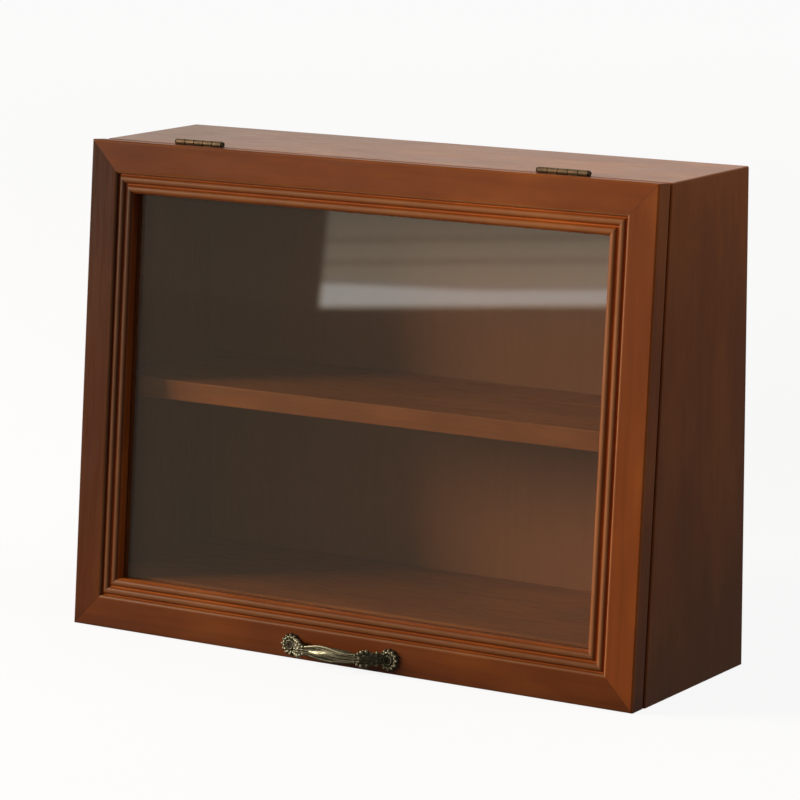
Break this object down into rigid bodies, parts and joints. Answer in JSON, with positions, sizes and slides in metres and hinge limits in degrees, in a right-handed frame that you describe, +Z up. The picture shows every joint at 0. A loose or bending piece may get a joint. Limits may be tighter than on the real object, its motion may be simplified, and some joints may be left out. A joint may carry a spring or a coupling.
{
  "type": "display cabinet",
  "caption": "Small countertop display cabinet in stained wood with a leaning, glazed flip-up door, a shelf and a cast bronze pull.",
  "frame": {"origin": "on the base plane, at the centre of the whole outline, handle included", "axes": "+X to the right seen from the front, +Y from the door to the back, +Z up"},
  "size_m": [0.45, 0.1682, 0.3424],
  "materials": {
    "stained_wood": "satin lacquer",
    "plywood": "thin lacquer",
    "plain_wood": "bare",
    "window_glass": "clear",
    "aged_bronze": "aged, cast",
    "hinge_brass": "aged",
    "screw_steel": "plated",
    "felt": "felt"
  },
  "bodies": {
    "cabinet": {"top_panel": "stained_wood", "left_side_panel": "stained_wood", "right_side_panel": "stained_wood", "floor_board": "stained_wood", "front_plinth_rail": "stained_wood", "rear_plinth_rail": "stained_wood", "back_panel": "plywood", "back_panel_screws": "screw_steel", "shelf": "stained_wood", "shelf_pins": "screw_steel", "case_mitre_splines": "plain_wood", "carcass_dowels": "plain_wood", "cabinet_leaf_screws": "hinge_brass", "bumper_pads": "felt", "left_hinge_cabinet_leaf": "hinge_brass", "left_hinge_pin": "hinge_brass", "right_hinge_cabinet_leaf": "hinge_brass", "right_hinge_pin": "hinge_brass"},
    "door": {"door_top_rail": "stained_wood", "door_bottom_rail": "stained_wood", "door_left_stile": "stained_wood", "door_right_stile": "stained_wood", "door_mitre_splines": "plain_wood", "glass_pane": "window_glass", "top_glazing_bead": "stained_wood", "bottom_glazing_bead": "stained_wood", "left_glazing_bead": "stained_wood", "right_glazing_bead": "stained_wood", "glazing_pins": "screw_steel", "left_hinge_door_leaf": "hinge_brass", "right_hinge_door_leaf": "hinge_brass", "door_leaf_screws": "hinge_brass", "door_handle": "aged_bronze", "handle_screws": "screw_steel"}
  },
  "joints": [
    {"name": "door_hinge", "type": "hinge", "parent": "cabinet", "child": "door", "pos_m": [0, -0.02203, 0.34031], "axis": [-1, 0, 0], "range_deg": [0, 185]}
  ]
}
